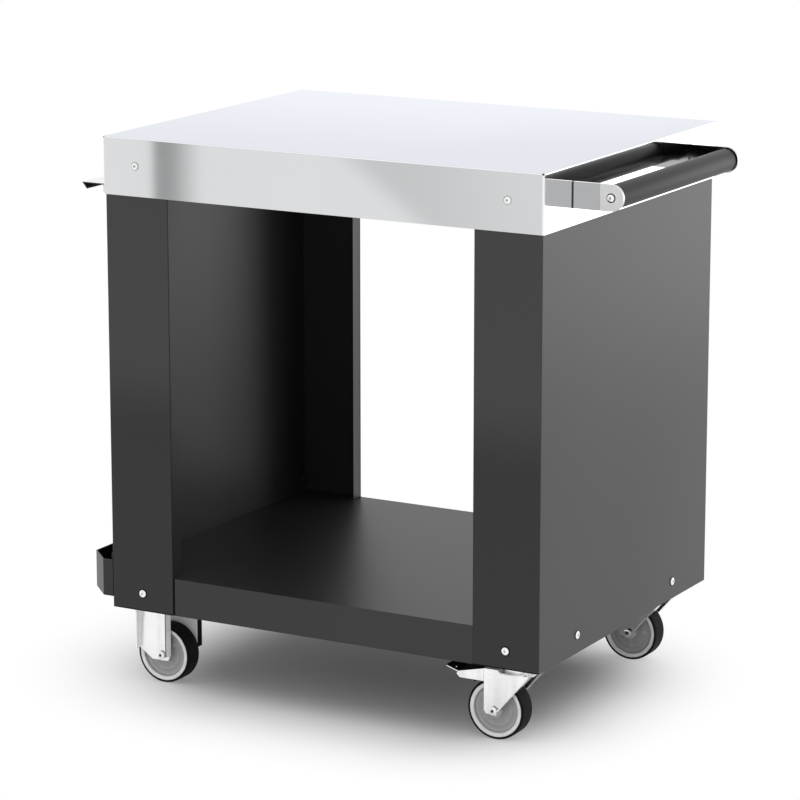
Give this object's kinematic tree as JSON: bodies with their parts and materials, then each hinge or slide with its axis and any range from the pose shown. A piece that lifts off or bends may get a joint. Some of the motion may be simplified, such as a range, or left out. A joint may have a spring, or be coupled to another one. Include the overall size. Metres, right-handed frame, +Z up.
{
  "type": "outdoor pizza oven table",
  "caption": "Wheeled outdoor oven table: stainless top tray on folded dark side panels with a lower shelf, push handle, tool rail, tool pocket, fixed casters and braked swivel casters.",
  "frame": {"origin": "on the floor under the middle of the overall footprint, push handle and tool pocket included", "axes": "+Z up out of the worktop, +X towards the push handle, -Y towards the front opening"},
  "size_m": [0.9442, 0.64, 0.928],
  "materials": {
    "stainless": "satin",
    "arm_steel": "satin",
    "powder_coat": "fine matt texture",
    "screw_steel": "bright zinc",
    "zinc": "bright zinc plated",
    "grip_black": "satin",
    "plug_black": "matt",
    "pad_black": "matt",
    "rim_grey": "satin",
    "tyre_black": "matt"
  },
  "bodies": {
    "table": {"worktop": "stainless", "worktop_stiffeners": "stainless", "side_panel_left": "powder_coat", "side_panel_right": "powder_coat", "lower_shelf": "powder_coat", "worktop_screws": "screw_steel", "shelf_screws": "screw_steel", "rail_and_pocket_screws": "screw_steel", "press_nuts": "powder_coat", "handle_arm_front": "arm_steel", "handle_arm_rear": "arm_steel", "handle_grip": "grip_black", "handle_end_plugs": "plug_black", "handle_bolts": "screw_steel", "handle_foot_screws": "screw_steel", "tool_rail": "powder_coat", "tool_pocket": "powder_coat", "caster_backing_plates": "zinc", "caster_bolts": "screw_steel", "caster_nuts": "screw_steel", "fork_front_left": "zinc", "axle_sleeve_front_left": "screw_steel", "axle_bolt_front_left": "screw_steel", "axle_nut_front_left": "screw_steel", "fork_rear_left": "zinc", "axle_sleeve_rear_left": "screw_steel", "axle_bolt_rear_left": "screw_steel", "axle_nut_rear_left": "screw_steel", "swivel_plate_front_right": "zinc", "kingpin_front_right": "screw_steel", "swivel_plate_rear_right": "zinc", "kingpin_rear_right": "screw_steel"},
    "wheel_front_left": {"wheel_rim_front_left": "rim_grey", "tyre_front_left": "tyre_black"},
    "wheel_rear_left": {"wheel_rim_rear_left": "rim_grey", "tyre_rear_left": "tyre_black"},
    "swivel_front_right": {"fork_front_right": "zinc", "axle_sleeve_front_right": "screw_steel", "axle_bolt_front_right": "screw_steel", "axle_nut_front_right": "screw_steel", "brake_pin_front_right": "screw_steel"},
    "wheel_front_right": {"wheel_rim_front_right": "rim_grey", "tyre_front_right": "tyre_black"},
    "brake_front_right": {"brake_pedal_front_right": "zinc", "brake_shoe_front_right": "pad_black", "brake_pad_front_right": "pad_black"},
    "swivel_rear_right": {"fork_rear_right": "zinc", "axle_sleeve_rear_right": "screw_steel", "axle_bolt_rear_right": "screw_steel", "axle_nut_rear_right": "screw_steel", "brake_pin_rear_right": "screw_steel"},
    "wheel_rear_right": {"wheel_rim_rear_right": "rim_grey", "tyre_rear_right": "tyre_black"},
    "brake_rear_right": {"brake_pedal_rear_right": "zinc", "brake_shoe_rear_right": "pad_black", "brake_pad_rear_right": "pad_black"}
  },
  "joints": [
    {"name": "wheel_spin_front_left", "type": "hinge", "parent": "table", "child": "wheel_front_left", "pos_m": [-0.34535, -0.2487, 0.05], "axis": [0, 1, 0], "continuous": true},
    {"name": "wheel_spin_rear_left", "type": "hinge", "parent": "table", "child": "wheel_rear_left", "pos_m": [-0.34535, 0.2487, 0.05], "axis": [0, 1, 0], "continuous": true},
    {"name": "swivel_front_right", "type": "hinge", "parent": "table", "child": "swivel_front_right", "pos_m": [0.31665, -0.2487, 0.125], "axis": [0, 0, 1], "continuous": true},
    {"name": "wheel_spin_front_right", "type": "hinge", "parent": "swivel_front_right", "child": "wheel_front_right", "pos_m": [0.28165, -0.2487, 0.05], "axis": [0, 1, 0], "continuous": true},
    {"name": "brake_front_right", "type": "hinge", "parent": "swivel_front_right", "child": "brake_front_right", "pos_m": [0.27365, -0.2487, 0.104], "axis": [0, -1, 0], "range_deg": [0, 10]},
    {"name": "swivel_rear_right", "type": "hinge", "parent": "table", "child": "swivel_rear_right", "pos_m": [0.31665, 0.2487, 0.125], "axis": [0, 0, 1], "continuous": true},
    {"name": "wheel_spin_rear_right", "type": "hinge", "parent": "swivel_rear_right", "child": "wheel_rear_right", "pos_m": [0.28165, 0.2487, 0.05], "axis": [0, 1, 0], "continuous": true},
    {"name": "brake_rear_right", "type": "hinge", "parent": "swivel_rear_right", "child": "brake_rear_right", "pos_m": [0.27365, 0.2487, 0.104], "axis": [0, -1, 0], "range_deg": [0, 10]}
  ]
}
